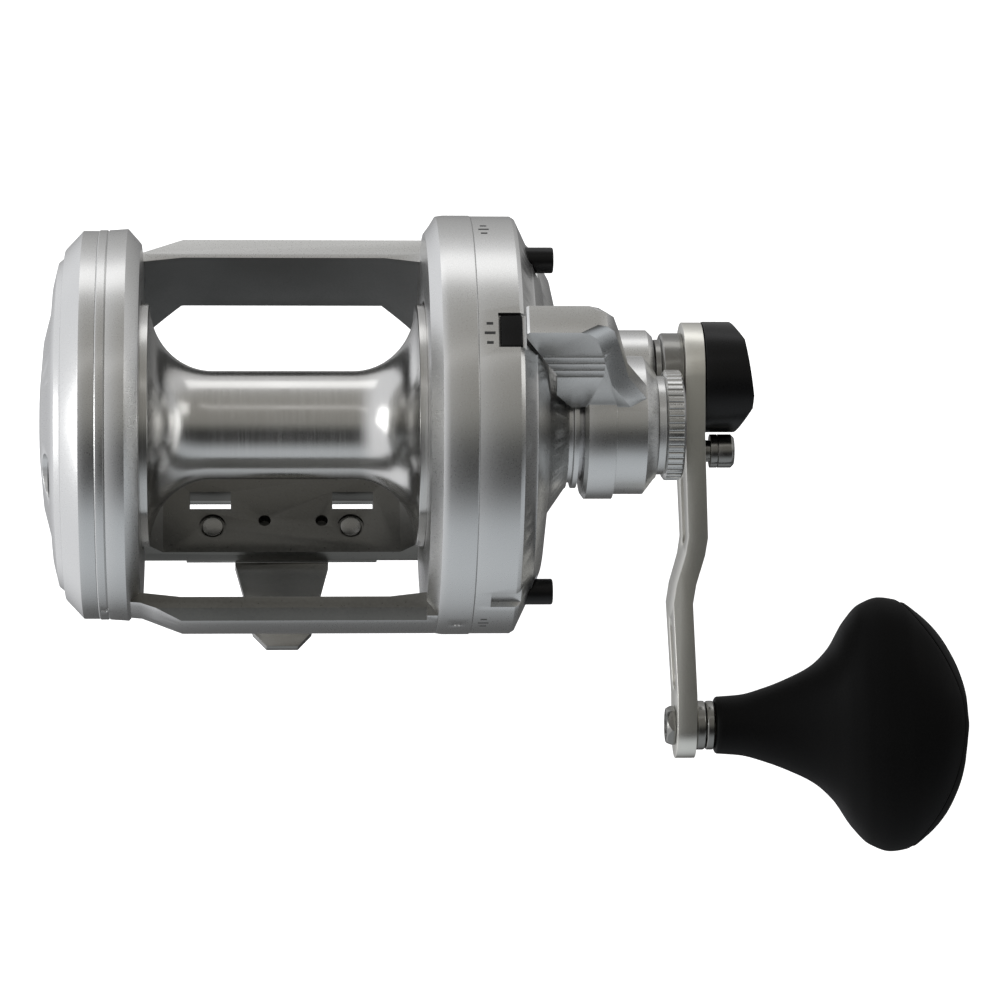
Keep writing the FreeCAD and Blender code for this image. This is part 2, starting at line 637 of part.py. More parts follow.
def spool_parts():
    inner = d.shaft_radius + d.running_gap
    face = spool_face
    keep(ring("spool_bearing_left", -face - 2.4, -face + 2.0, inner, d.bearing_radius),
         "spool_bearing_left")
    keep(ring("spool_bearing_right", face - d.bearing_width - 1.6, face - 1.6, inner,
              d.bearing_radius), "spool_bearing_right")
    keep(ring("drag_washer", face, face + d.drag_thick, 12.0, drag_radius), "drag_washer")


def drive_parts():
    """Main shaft with the pressure plate, spring washers and the two pinions."""
    top = left_seam + d.cover_depth
    r = d.shaft_radius
    keep(turned("main_shaft", [
        (-top + 5.9, 0.0), (-top + 5.9, r - 0.4), (-top + 6.3, r), (lever_face, r),
        (lever_face, 3.0), (knob_face - 3.8, 3.0), (knob_face - 3.8, 0.0)]), "main_shaft")
    x0 = drag_plate_x
    x1 = x0 + d.drag_plate_thick
    keep(turned("pressure_plate", [
        (x0, 11.5), (x0, drag_plate_radius - 0.5), (x0 + 0.5, drag_plate_radius),
        (x1, drag_plate_radius), (x1, 12.0), (x1 + 1.0, 11.0), (x1 + 1.0, r), (x0 + 1.0, r),
        (x0 + 1.0, 11.5)]), "drag_pressure_plate")
    keep(turned("spring_washers", [
        (x0 - 2.0, r), (x0 - 0.8, r), (x0 + 1.0, r + 4.5), (x0 + 1.0, r + 5.5),
        (x0 + 0.2, r + 5.5), (x0 - 1.0, r + 3.4), (x0 - 2.0, r + 1.0)]), "drag_spring_washers")
    toward = math.degrees(math.atan2(handle_axis_z, handle_axis_y))
    for name, teeth, x, width in (
            ("low_pinion", d.low_pinion_teeth, low_gear_x - 0.5, d.gear_width + 0.3),
            ("high_pinion", d.high_pinion_teeth, high_gear_x - 0.4, d.gear_width + 0.9)):
        keep(made(name, spur(int(teeth), x, x + width, r, toward)), name)


# ---------------------------------------------------------------- gears
def spur(teeth, x0, x1, bore, first_tooth):
    """Involute spur gear about the origin, with the first tooth centred at an angle."""
    module = d.tooth_module
    pitch = module * teeth / 2.0
    tip = pitch + 0.85 * module
    root = pitch - 1.2 * module
    base = pitch * math.cos(math.radians(20.0))
    involute = math.tan(math.radians(20.0)) - math.radians(20.0)
    half = math.pi / (2 * teeth) - d.gear_backlash / (2 * pitch)
    flank = []
    start = max(base, root)
    for i in range(5):
        r = start + (tip - start) * i / 4.0
        angle = math.acos(min(1.0, base / r))
        flank.append((r, half + involute - (math.tan(angle) - angle)))
    if root < base:
        flank.insert(0, (root, flank[0][1]))
    points = []
    for i in range(teeth):
        mid = first_tooth + 360.0 * i / teeth
        for r, a in flank:
            points.append(polar(r, mid - math.degrees(a)))
        for r, a in reversed(flank):
            points.append(polar(r, mid + math.degrees(a)))
    return prism_x(points, x0, x1).cut(cyl(x0 - 1, x1 + 1, bore))


def big_gears():
    """Both gears on the handle shaft, each with a gap facing the spool axis."""
    toward = math.degrees(math.atan2(handle_axis_z, handle_axis_y)) + 180.0
    shaft = d.handle_shaft
    for name, teeth, x, bore in (
            ("high_gear", int(d.high_teeth), high_gear_x, shaft),
            ("low_gear", int(d.low_teeth), low_gear_x, shaft + d.running_gap)):
        shape = spur(teeth, x, x + d.gear_width, bore, toward + 180.0 / teeth)
        for i in range(6):
            y, z = polar(teeth * d.tooth_module * 0.31, 60.0 * i)
            shape = shape.cut(cyl(x - 1, x + d.gear_width + 1, teeth * 0.055, y, z))
        on_handle(made(name, shape), name)


def ratchet():
    """Anti-reverse wheel on the handle shaft and its sprung pawl on a fixed pin."""
    x0, x1 = ratchet_x, ratchet_x + d.ratchet_width
    teeth = int(d.ratchet_teeth)
    radius = d.ratchet_radius
    step = 360.0 / teeth
    points = []
    for i in range(teeth):
        points.append(polar(radius - 1.8, step * i))
        points.append(polar(radius, step * i + 0.5))
        points.append(polar(radius, step * i + 3.0))
    wheel = prism_x(points, x0, x1).cut(cyl(x0 - 1, x1 + 1, d.handle_shaft))
    on_handle(made("ratchet_wheel", wheel), "ratchet_wheel")
    lean = d.pawl_angle
    py, pz = polar(d.pawl_reach, lean)
    tip_a = polar(radius - 1.2, lean - 52.0)
    tip_b = polar(radius + 1.6, lean - 51.0)
    heel_a = polar(d.pawl_reach - 2.7, lean - 3.0)
    heel_b = polar(d.pawl_reach + 2.6, lean + 1.0)
    elbow = polar(radius + 4.4, lean - 28.0)
    chin = polar(radius + 0.9, lean - 28.0)
    # the nose fits between two teeth; it is drawn lifted clear of them, as while the handle winds
    arm = prism_x([heel_b, elbow, tip_b, tip_a, chin, heel_a], x0, x1)
    arm = arm.cut(made_clear(points, x0, x1))
    arm.rotate(V(0, py, pz), AXIS_X, d.pawl_lift)
    pawl = arm.fuse(cyl(x0, x1, 2.8, py, pz))
    pawl = pawl.cut(cyl(x0 - 1, x1 + 1, d.pin_radius + d.running_gap, py, pz))
    on_handle(made("reverse_pawl", pawl.removeSplitter()), "reverse_pawl")
    pin = rod("reverse_pin", x0, plate_inside + 1.5, d.pin_radius)
    keep(pin, "reverse_pin", handle_axis_y + py, d.axis_height + handle_axis_z + pz)


def made_clear(points, x0, x1):
    """Wheel outline grown a little, which the pawl's nose is cut back from."""
    grown = []
    for y, z in points:
        r = math.hypot(y, z)
        grown.append((y * (r + 0.15) / r, z * (r + 0.15) / r))
    return prism_x(grown, x0 - 1, x1 + 1)


# ---------------------------------------------------------------- lever and preset knob
def lever():
    """Drag lever: stepped hub over the cam, and a bent arm with grip ridges."""
    x0, x1, hub = lever_hub_x, lever_face, d.lever_hub
    body = revolved([
        (x0, 14.0), (x0, hub - 1.2), (x0 + 0.9, hub), (x0 + 7.7, hub), (x0 + 7.9, hub - 1.2),
        (x0 + 15.5, hub - 1.2), (x1 - 0.6, hub - 4.6), (x1, hub - 5.2), (x1, 0.0), (x0 + 2.7, 0.0),
        (x0 + 2.7, 14.0)])
    reach, half = lever_reach, d.lever_half
    side = [(rim_end + 1.4, reach - 0.6), (rim_end + 2.0, reach), (x0 + 0.3, reach),
            (x0 + 2.6, reach - 1.0), (x0 + 4.4, reach - 3.2), (x0 + 6.0, reach - 9.5),
            (x0 + 9.8, 28.5), (x0 + 15.5, 16.8), (x0 + 6.0, 12.0), (x0, 12.0), (x0, 17.0),
            (x0 - 3.4, 16.6), (rim_end + 10.6, 23.4), (rim_end + 10.0, 33.5),
            (rim_end + 1.4, d.plate_radius + 0.7)]
    outboard = range(2, 8)

    def layer(y, drop):
        """The arm's side outline at one depth, its outboard edge drawn in by the bevel."""
        points = []
        for i, (x, r) in enumerate(side):
            points.append(V(x - drop if i in outboard else x, y, r))
        return Part.makePolygon(points + points[:1])

    depths = [(-half, d.bevel_wide), (-half + 2.2, 0.0), (half - 1.3, 0.0), (half, d.bevel_narrow)]
    sections = [layer(y, drop) for y, drop in depths]
    slices = [Part.makeLoft([sections[i], sections[i + 1]], True, True) for i in range(3)]
    arm = slices[0].fuse(slices[1:])
    arm = arm.cut(cyl(x0 - 12, x0, d.collar_radius + 0.4))
    solid = body.fuse(arm)
    solid = solid.cut([
        cyl(x0 - 1, x0 + 2.7, 14.0), cyl(x0, spigot_end + 0.4, d.spigot_radius + d.running_gap),
        cyl(spigot_end + 0.4, x1 - 3.5, 10.0), cyl(x1 - 4, x1 + 1, d.shaft_radius + 0.6)])
    for i in range(4):
        low = 32.6 + 3.4 * i
        solid = solid.cut(box(rim_end + 3.8, x0 + 3.2, -half - 1, -half + 0.45, low, low + 1.1))
    keep(made("lever", spun(solid.removeSplitter(), station(d.lever_angle))), "drag_lever")


def thrust_bearing():
    x0 = spigot_end + 1.6
    keep(ring("thrust_bearing", x0, x0 + 3.4, d.shaft_radius + d.running_gap, 9.2),
         "thrust_bearing")


def preset_knob():
    """Knurled knob on the shaft's end, with a plain collar against the lever."""
    x0 = lever_face + 0.2
    x1 = x0 + d.knob_spacer_width
    radius = d.knob_radius
    solid = revolved([
        (x0, d.shaft_radius + 0.3), (x0, d.knob_spacer), (x1, d.knob_spacer), (x1, radius - 0.8),
        (x1 + 0.6, radius), (knob_face - 0.7, radius), (knob_face, radius - 0.9),
        (knob_face, 0.0), (knob_face - 2.9, 0.0),
        (knob_face - 2.9, 3.0 + d.running_gap), (x1 + 0.5, 3.0 + d.running_gap),
        (x1 + 0.5, d.shaft_radius + 0.3)])
    count = int(d.knurls)
    cuts = []
    for i in range(count):
        y, z = polar(radius + 0.25, 360.0 * i / count)
        cuts.append(cyl(x1 + 0.5, knob_face + 1, 0.55, y, z))
    keep(made("preset_knob", solid.cut(cuts)), "preset_knob")


# ---------------------------------------------------------------- handle
def handle_shaft():
    """Hollow shaft through the gears, with a retaining clip in front of the low gear."""
    clip_x = low_gear_x - 1.0
    on_handle(turned("handle_shaft", [
        (clip_x, d.shift_rod + d.running_gap), (clip_x, 6.4), (clip_x + 0.8, 6.4),
        (clip_x + 0.8, d.handle_shaft), (blade_x + 2.2, d.handle_shaft),
        (blade_x + 2.2, d.shift_rod + d.running_gap)]), "handle_shaft")
    x0 = tower_end + 0.5
    on_handle(turned("handle_collar", [
        (x0, d.handle_shaft), (x0, 9.6), (x0 + 1.5, 9.6), (x0 + 1.5, d.handle_collar - 0.5),
        (x0 + 2.0, d.handle_collar), (blade_x - d.blade_thick / 2, d.handle_collar),
        (blade_x - d.blade_thick / 2, d.handle_shaft)]), "handle_collar")


def blade():
    """Cranked handle blade: side view swept across, cut to the tapering outline."""
    t = d.blade_thick / 2
    flat = d.blade_hub + 1
    stations = [(-flat, blade_x), (flat, blade_x), (41.0, blade_bulge_x),
                (45.5, blade_bulge_x - 0.7), (53.0, blade_crank_x + 0.8),
                (58.0, blade_crank_x), (d.throw - 8.0, blade_end_x),
                (d.throw + d.blade_tip + 1, blade_end_x)]
    inner = [(x - t, s) for s, x in stations]
    outer = [(x + t, s) for s, x in reversed(stations)]
    side = [V(x, -20.0, s) for x, s in inner + outer]
    strip = Part.Face(Part.makePolygon(side + side[:1])).extrude(V(0, 40, 0))
    hub, waist, tip, throw = d.blade_hub, d.blade_waist, d.blade_tip, d.throw
    plan = [V(0, -hub, 0), V(0, -hub + 0.6, 14.0), V(0, -waist - 1.0, 50.0),
            V(0, -tip, throw), V(0, tip, throw), V(0, waist + 1.0, 50.0), V(0, hub - 0.6, 14.0),
            V(0, hub, 0)]
    lines = [Part.makePolygon(plan[:4]), Part.Arc(plan[3], V(0, 0, throw + tip), plan[4]).toShape(),
             Part.makePolygon(plan[4:]), Part.Arc(plan[7], V(0, 0, -hub), plan[0]).toShape()]
    edges = [e for item in lines for e in item.Edges]
    outline = Part.Face(Part.Wire(Part.__sortEdges__(edges)))
    outline.translate(V(80, 0, 0))
    solid = strip.common(outline.extrude(V(60, 0, 0)))
    for s0, s1, x in ((27.0, 40.0, blade_bulge_x), (65.0, 77.0, blade_crank_x + 0.6)):
        groove = cyl(x - t - 3, x - t + 1.2, 3.4, 0, s0).fuse(
            [cyl(x - t - 3, x - t + 1.2, 3.4, 0, s1), box(x - t - 3, x - t + 1.2, -3.4, 3.4, s0, s1)])
        solid = solid.cut(groove)
    solid = solid.cut([cyl(90, 120, d.handle_shaft),
                       cyl(90, 120, 2.0 + d.running_gap, 0, d.release_s),
                       cyl(90, 120, d.spindle_radius, 0, throw)])
    return on_handle(made("blade", laid(solid.removeSplitter())), "handle_blade")


def laid(shape):
    """Turn a shape drawn with s along +Z so that s runs down the hanging handle."""
    return spun(shape, d.hang_angle - 90.0)


def beyond_cap(x0, sink):
    """Space outboard of the cap's slanted face, which is thickest towards the blade's end."""
    r, thin, thick = d.cap_radius, d.cap_thin, d.cap_thin + d.cap_rise
    edge = [(thin - 1.3, -r - 1), (thin - 1.3, -r), (thin, -0.85 * r), (thin + 1.6, -0.67 * r),
            (thick, 0.35 * r), (thick - 0.2, 0.57 * r), (thin, r), (thin, r + 1)]
    points = [V(x0 + x - sink, -20, along) for x, along in edge]
    points += [V(x0 + 30, -20, r + 1), V(x0 + 30, -20, -r - 1)]
    face = Part.Face(Part.makePolygon(points + points[:1]))
    return laid(face.extrude(V(0, 40, 0)))


def shift_parts():
    """Slanted shift cap on the blade's hub, the push button in it with its long rod."""
    x0 = blade_x + d.blade_thick / 2 + 0.25
    thick = d.cap_thin + d.cap_rise
    bore = d.shift_button + d.clearance
    cap = cyl(x0, x0 + thick, d.cap_radius).cut([cyl(x0 - 1, x0 + thick + 1, bore),
                                                 beyond_cap(x0, 0.0)])
    on_handle(made("shift_cap", cap.removeSplitter()), "shift_cap")
    seat = x0 + 3.4
    button = cyl(seat, x0 + thick, d.shift_button).cut(beyond_cap(x0, 0.25))
    on_handle(made("shift_button", button.removeSplitter()), "shift_button")
    on_handle(rod("shift_rod", low_gear_x + 2.4, seat, d.shift_rod), "shift_rod")


def release_knob():
    """Silver pull knob beside the cap; it lets the shift button spring back to high gear."""
    face = blade_x + d.blade_thick / 2 + 0.5
    r = d.release_head
    body = turned("release_knob", [
        (face - 4.0, 0.0), (face - 4.0, 2.0), (face + 0.1, 2.0), (face + 0.1, 2.8),
        (face + 2.0, 2.8), (face + 2.0, r), (face + 3.8, r), (face + 3.8, r - 0.4),
        (face + 4.0, r - 0.4), (face + 4.0, r), (face + 7.4, r), (face + 8.2, r - 0.8),
        (face + 8.2, 0.0)])
    keep(body, "release_knob", handle_axis_y + hang_y * d.release_s,
         d.axis_height + handle_axis_z + hang_z * d.release_s)


def at_grip(item, label):
    return keep(item, label, handle_axis_y + hang_y * d.throw,
                d.axis_height + handle_axis_z + hang_z * d.throw)


def spindle_parts():
    """Spindle through the blade's end, its hexagonal head, two steel rings and the end nut."""
    inner_face = blade_end_x - d.blade_thick / 2
    outer_face = blade_end_x + d.blade_thick / 2 + 0.25
    hexagon = [polar(d.nut_radius, 60.0 * i + 12.0) for i in range(6)]
    head = prism_x(hexagon, inner_face - 2.3, inner_face - 0.1)
    head = head.common(cone(inner_face - 2.4, inner_face - 0.1, d.nut_radius - 0.9,
                            d.nut_radius + 0.6))
    head = head.cut(cyl(inner_face - 3, inner_face, d.spindle_radius))
    at_grip(made("spindle_head", head), "spindle_nut")
    at_grip(rod("spindle", inner_face - 2.0, grip_start + 46.0, d.spindle_radius),
            "grip_spindle")
    mid = (outer_face + grip_start) / 2
    for name, x0, x1 in (("inner_ring", outer_face, mid - 0.1),
                         ("outer_ring", mid + 0.1, grip_start - 0.25)):
        at_grip(turned(name, [(x0, d.spindle_radius), (x0, d.ring_radius - 0.3),
                              (x0 + 0.3, d.ring_radius), (x1 - 0.3, d.ring_radius),
                              (x1, d.ring_radius - 0.3), (x1, d.spindle_radius)]),
                "grip_" + name)


def grip_blank():
    """Lofted T-grip: a round neck that swells into a wide, flat, rounded paddle."""
    x0, x1 = grip_start, grip_end
    length = x1 - x0
    neck, wide, deep = d.grip_neck, d.grip_half_width, d.grip_half_depth
    table = [(0.0, 0.0, 0.0), (0.10, 0.03, 0.02), (0.20, 0.09, 0.08), (0.30, 0.19, 0.20),
             (0.37, 0.32, 0.38), (0.44, 0.60, 0.60), (0.51, 0.85, 0.82), (0.60, 0.985, 0.98),
             (0.69, 1.0, 1.0), (0.78, 0.90, 0.95), (0.87, 0.70, 0.76), (0.95, 0.37, 0.42),
             (1.0, -0.10, -0.25)]
    wires = []
    for along, w, t in table:
        major = neck + (wide - neck) * w
        minor = neck + (deep - neck) * t
        ellipse = Part.Ellipse(V(0, 0, 0), max(major, minor + 0.001), minor)
        wire = Part.Wire(ellipse.toShape())
        wire.rotate(V(0, 0, 0), V(0, 1, 0), 90)
        wire.translate(V(x0 + length * along, 0, 0))
        wires.append(wire)
    return laid(Part.makeLoft(wires, True, False))


def grip_parts():
    blank = grip_blank()
    bore = 5.0
    far = grip_start + 48.5
    blank = blank.cut(cyl(grip_start - 1, far, bore))
    span = box(grip_cap_x, grip_end + 5, -60, 60, -60, 60)
    at_grip(made("grip", blank.cut(span)), "grip")
    at_grip(made("grip_cap", blank.common(span)), "grip_cap")
    for name, x0 in (("grip_bush_near", grip_start + 0.3), ("grip_bush_far",
                                                             grip_start + 38.0)):
        at_grip(ring(name, x0, x0 + 5.0, d.spindle_radius + d.running_gap, bore), name)
    x0 = grip_start + 43.4
    at_grip(ring("spindle_end_nut", x0, x0 + 2.2, d.spindle_radius, 4.6), "spindle_end_nut")


# ---------------------------------------------------------------- build, test and write
def build():
    for make in (frame, foot, foot_screws, left_cover, clicker, left_bearing, click_parts,
                 right_plate, stop_posts, strike_button, set_screws, right_bearings, fixed_cam,
                 spool, spool_parts, drive_parts, big_gears, ratchet, lever, thrust_bearing,
                 preset_knob, handle_shaft, blade, shift_parts, release_knob, spindle_parts,
                 grip_parts):
        make()
    doc.recompute()
    bad = [o.Name for o in doc.Objects if {"Invalid", "Error"} & set(o.State)]
    for item in nodes:
        if item.Shape.isNull() or not item.Shape.isValid() or item.Shape.Volume <= 0:
            bad.append(item.Label)
    if bad:
        raise RuntimeError("not built: " + ", ".join(bad))
    os.makedirs("parts", exist_ok=True)
    for item in nodes:
        item.Shape.exportStep("parts/%s.step" % item.Label)
    print("wrote", len(nodes), "pieces")


build()
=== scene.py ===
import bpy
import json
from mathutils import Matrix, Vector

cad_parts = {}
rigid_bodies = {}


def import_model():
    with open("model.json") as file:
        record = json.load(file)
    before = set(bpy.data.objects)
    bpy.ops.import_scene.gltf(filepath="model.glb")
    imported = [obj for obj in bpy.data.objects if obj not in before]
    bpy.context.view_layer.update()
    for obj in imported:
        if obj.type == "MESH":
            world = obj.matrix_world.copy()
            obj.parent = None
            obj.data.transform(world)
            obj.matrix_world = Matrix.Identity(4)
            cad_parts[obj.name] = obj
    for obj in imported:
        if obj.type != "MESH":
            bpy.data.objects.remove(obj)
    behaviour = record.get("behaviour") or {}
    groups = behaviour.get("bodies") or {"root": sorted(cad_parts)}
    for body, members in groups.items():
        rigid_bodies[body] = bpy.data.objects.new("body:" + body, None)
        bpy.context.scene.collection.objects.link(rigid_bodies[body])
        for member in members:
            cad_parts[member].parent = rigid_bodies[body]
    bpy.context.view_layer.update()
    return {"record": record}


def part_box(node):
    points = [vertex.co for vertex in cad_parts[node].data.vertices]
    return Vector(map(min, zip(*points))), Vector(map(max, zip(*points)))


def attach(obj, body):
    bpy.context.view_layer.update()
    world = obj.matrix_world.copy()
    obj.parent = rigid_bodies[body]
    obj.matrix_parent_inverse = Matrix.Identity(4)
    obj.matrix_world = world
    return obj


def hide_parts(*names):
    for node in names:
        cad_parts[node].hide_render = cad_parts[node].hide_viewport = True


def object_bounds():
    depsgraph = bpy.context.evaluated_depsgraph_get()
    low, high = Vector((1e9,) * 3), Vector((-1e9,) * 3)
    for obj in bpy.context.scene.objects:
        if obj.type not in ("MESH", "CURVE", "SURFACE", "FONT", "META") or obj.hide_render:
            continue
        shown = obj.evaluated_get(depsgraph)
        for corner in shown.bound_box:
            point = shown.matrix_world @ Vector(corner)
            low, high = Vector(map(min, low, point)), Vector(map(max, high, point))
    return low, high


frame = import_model()

import json
import math

import bmesh
import bpy
import numpy as np
from mathutils import Matrix, Vector

# ---------------------------------------------------------------- frame
# One block of aluminium, milled out to two cupped rings, a front bar, a rear bar and the base
# plate.  Bead-blasted and anodised silver; every edge has a small chamfer.
frame_low, frame_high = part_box("frame")
axis_z = (frame_low[2] + frame_high[2]) / 2
noise_low, noise_high = 0.25, 0.75      # most of a noise's values lie between these
cloud_scale = 45.0                      # the slow noise, in patches of about 20 mm
relief_height = 0.00006                 # height of the fine noise at full relief


def shader_step(tree, kind, feeds, operation=None):
    """Add one shader node and fill its inputs: feeds maps an input's name or number to another
    node's output, which is linked, or to a value, which is set."""
    node = tree.nodes.new("ShaderNode" + kind)
    if operation:
        node.operation = operation
    for key, feed in feeds.items():
        if isinstance(feed, bpy.types.NodeSocket):
            tree.links.new(feed, node.inputs[key])
        else:
            node.inputs[key].default_value = feed
    return node


def finish_material(name, colour, roughness, grain, grain_scale, streak=None, metal=1.0,
                    patch=0.05, gloss_level=0.5, relief=0.08):
    """Metal finish: base colour varied by a slow and a fine noise, roughness by the fine one.

    streak=(across, along) stretches the fine noise around the reel's axis: its coordinates are
    the station x, the radius about the axis and a small share of the angle.
    """
    material = bpy.data.materials.new(name)
    material.use_nodes = True
    tree = material.node_tree
    shader = tree.nodes["Principled BSDF"]
    shader.inputs["Metallic"].default_value = metal
    shader.inputs["Specular IOR Level"].default_value = gloss_level
    place = shader_step(tree, "TexCoord", {})
    centred = shader_step(tree, "Mapping", {"Vector": place.outputs["Object"],
                                            "Location": (0.0, 0.0, -axis_z)})
    source = centred.outputs["Vector"]
    if streak:
        across, along = streak
        parts = shader_step(tree, "SeparateXYZ", {"Vector": source})
        angle = shader_step(tree, "Math", {0: parts.outputs["Z"], 1: parts.outputs["Y"]},
                            "ARCTAN2")
        turn = shader_step(tree, "Math", {0: angle.outputs[0], 1: along}, "MULTIPLY")
        flat = shader_step(tree, "VectorMath", {0: source, 1: (0.0, 1.0, 1.0)}, "MULTIPLY")
        reach = shader_step(tree, "VectorMath", {0: flat.outputs["Vector"]}, "LENGTH")
        joined = shader_step(tree, "CombineXYZ", {"X": parts.outputs["X"],
                                                  "Y": reach.outputs["Value"],
                                                  "Z": turn.outputs[0]})
        wide = shader_step(tree, "VectorMath", {0: joined.outputs["Vector"],
                                                1: (across, across, 1.0)}, "MULTIPLY")
        source = wide.outputs["Vector"]
    fine = shader_step(tree, "TexNoise", {"Vector": source, "Detail": 3.0,
                                          "Scale": 1.0 if streak else grain_scale})
    slow = shader_step(tree, "TexNoise", {"Vector": centred.outputs["Vector"], "Detail": 2.0,
                                          "Scale": cloud_scale})
    both = shader_step(tree, "Math", {0: fine.outputs["Fac"], 1: slow.outputs["Fac"]}, "ADD")
    half = shader_step(tree, "Math", {0: both.outputs[0], 1: 0.5}, "MULTIPLY")
    tone = shader_step(tree, "MapRange", {
        "Value": half.outputs[0], "From Min": noise_low, "From Max": noise_high,
        "To Min": 1.0 - patch, "To Max": 1.0 + patch})
    tint = shader_step(tree, "VectorMath", {0: colour, "Scale": tone.outputs["Result"]},
                       "SCALE")
    gloss = shader_step(tree, "MapRange", {
        "Value": fine.outputs["Fac"], "From Min": noise_low, "From Max": noise_high,
        "To Min": roughness - grain * 0.5, "To Max": roughness + grain * 0.5})
    bump = shader_step(tree, "Bump", {"Strength": relief, "Distance": relief_height,
                                      "Height": fine.outputs["Fac"]})
    tree.links.new(tint.outputs["Vector"], shader.inputs["Base Color"])
    tree.links.new(gloss.outputs["Result"], shader.inputs["Roughness"])
    tree.links.new(bump.outputs["Normal"], shader.inputs["Normal"])
    return material


weld_gap = 1e-6                         # corners closer than this are one
flat_within = math.radians(0.6)         # facets this close to one plane are joined
crease = math.radians(24.0)             # shading breaks at edges sharper than this


def eased_copy(node, name, width, material, body, angle=28.0):
    """A machined piece with its edges eased: the CAD solid's surface, welded, its flat faces
    joined again, and a small bevel rolled along every edge sharper than an angle."""
    source = next(o for o in bpy.data.objects if o.name == node)
    mesh = source.data.copy()
    mesh.name = name
    welded = bmesh.new()
    welded.from_mesh(mesh)
    bmesh.ops.remove_doubles(welded, verts=welded.verts, dist=weld_gap)
    bmesh.ops.dissolve_limit(welded, angle_limit=flat_within, verts=welded.verts,
                             edges=welded.edges)
    welded.to_mesh(mesh)
    welded.free()
    mesh.materials.clear()
    mesh.materials.append(material)
    piece = bpy.data.objects.new(name, mesh)
    bpy.context.scene.collection.objects.link(piece)
    bevel = piece.modifiers.new("eased_edges", "BEVEL")
    bevel.width = width
    bevel.segments = 3
    bevel.limit_method = "ANGLE"
    bevel.angle_limit = math.radians(angle)
    bevel.miter_outer = "MITER_ARC"
    mesh.polygons.foreach_set("use_smooth", np.ones(len(mesh.polygons), bool))
    bpy.context.view_layer.update()
    done = bpy.data.meshes.new_from_object(piece.evaluated_get(
        bpy.context.evaluated_depsgraph_get()))
    piece.modifiers.clear()
    piece.data = done
    done.name = name
    done.polygons.foreach_set("use_smooth", np.ones(len(done.polygons), bool))
    done.set_sharp_from_angle(angle=crease)
    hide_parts(node)
    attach(piece, body)
    return piece


blasted_silver = finish_material("blasted_silver", (0.60, 0.60, 0.592), 0.29, 0.06, 3000.0,
                                 patch=0.03, relief=0.035)
milled_frame = eased_copy("frame", "milled_frame", 0.0004, blasted_silver, "housing")
# painted shade: the plate, the upward faces of the rear bar and the inside of the front bar take
# darker greys in place of the shade they lie in, and a rougher finish
cutter_grey = finish_material("cutter_grey", (0.13, 0.128, 0.118), 0.34, 0.16, 1500.0,
                              patch=0.14, relief=0.3)
# painted shade inside the front bar: a darker, rougher grey on the faces that look away from the
# light
deep_grey = finish_material("deep_grey", (0.20, 0.20, 0.195), 0.5, 0.16, 1700.0, patch=0.2,
                            relief=0.5)
for painted_shade in (cutter_grey, deep_grey):
    milled_frame.data.materials.append(painted_shade)
# the frame's faces are told apart by where they lie and which way they look, so that shade is
# painted on the plate, the rear bar's top and the front bar's inner face
count = len(milled_frame.data.polygons)
centres, normals = np.empty(count * 3), np.empty(count * 3)
milled_frame.data.polygons.foreach_get("center", centres)
milled_frame.data.polygons.foreach_get("normal", normals)
centres, normals = centres.reshape(-1, 3), normals.reshape(-1, 3)
plate_half_wide, plate_half_deep = 0.0349, 0.0127
plate_top, web_height = axis_z - 0.0425, 0.0044
bar_half_wide, bar_start = 0.0345, 0.038
rear_bar_top, front_bar_foot = axis_z - 0.004, axis_z - 0.022
on_plate = ((np.abs(centres[:, 1]) < plate_half_deep)
            & (np.abs(centres[:, 0]) < plate_half_wide)
            & (centres[:, 2] < plate_top + web_height))
on_rear = ((centres[:, 1] < -bar_start) & (np.abs(centres[:, 0]) < bar_half_wide)
           & (normals[:, 2] > 0.55) & (centres[:, 2] < rear_bar_top))
in_bar = ((centres[:, 1] > bar_start) & (np.abs(centres[:, 0]) < bar_half_wide)
          & (normals[:, 1] < -0.6) & (centres[:, 2] > front_bar_foot))
# index 1 paints shade on the plate and the rear bar's top, index 2 on the front bar's inner face
milled_frame.data.polygons.foreach_set("material_index",
                                       (on_plate + on_rear + 2 * in_bar).astype(np.int32))

# ---------------------------------------------------------------- covers
# The palm cover is a spun dome screwed to the left ring; the right cover carries the gear case,
# the collar for the lever and the tower for the handle shaft.
eased_copy("left_side_cover", "palm_cover", 0.0004, blasted_silver, "housing",
           angle=12.0)
eased_copy("right_side_cover", "gear_cover", 0.0004, blasted_silver, "housing")
# printed index marks on the rim of the gear cover: three strokes at each of the lever's settings
mark_ink = finish_material("mark_ink", (0.035, 0.035, 0.035), 0.55, 0.1, 3000.0, metal=0.0,
                           gloss_level=0.3)
rim_radius, ink_thick, stroke_half_wide = 0.0521, 0.00003, 0.00035
marks_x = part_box("frame")[1][0] + 0.0026
lever_settings = (126.0, 84.0, -10.0)   # degrees round the rim: full, strike and free
strokes = ((-2.8, 0.0016), (0.0, 0.0026), (2.8, 0.0016))    # degrees aside, length in metres


def closed_skin(name, verts, faces, crease_degrees=None):
    """Piece made of a grid's points and quads: coinciding points are merged, faces turned
    outwards, and it is shaded smooth up to a crease angle where one is given."""
    mesh = bpy.data.meshes.new(name)
    mesh.from_pydata(verts.reshape(-1, 3), [], faces.reshape(-1, 4))
    work = bmesh.new()
    work.from_mesh(mesh)
    bmesh.ops.remove_doubles(work, verts=work.verts, dist=1e-7)
    bmesh.ops.recalc_face_normals(work, faces=work.faces)
    work.to_mesh(mesh)
    work.free()
    if crease_degrees:
        mesh.polygons.foreach_set("use_smooth", np.ones(len(mesh.polygons), bool))
        mesh.set_sharp_from_angle(angle=math.radians(crease_degrees))
    piece = bpy.data.objects.new(name, mesh)
    bpy.context.scene.collection.objects.link(piece)
    return piece


def add(piece, material, body, slot, *nodes):
    """Give a piece its finish, let it ride on its body and stand for its CAD nodes."""
    piece.data.materials.append(material)
    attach(piece, body)
    if nodes:
        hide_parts(*nodes)


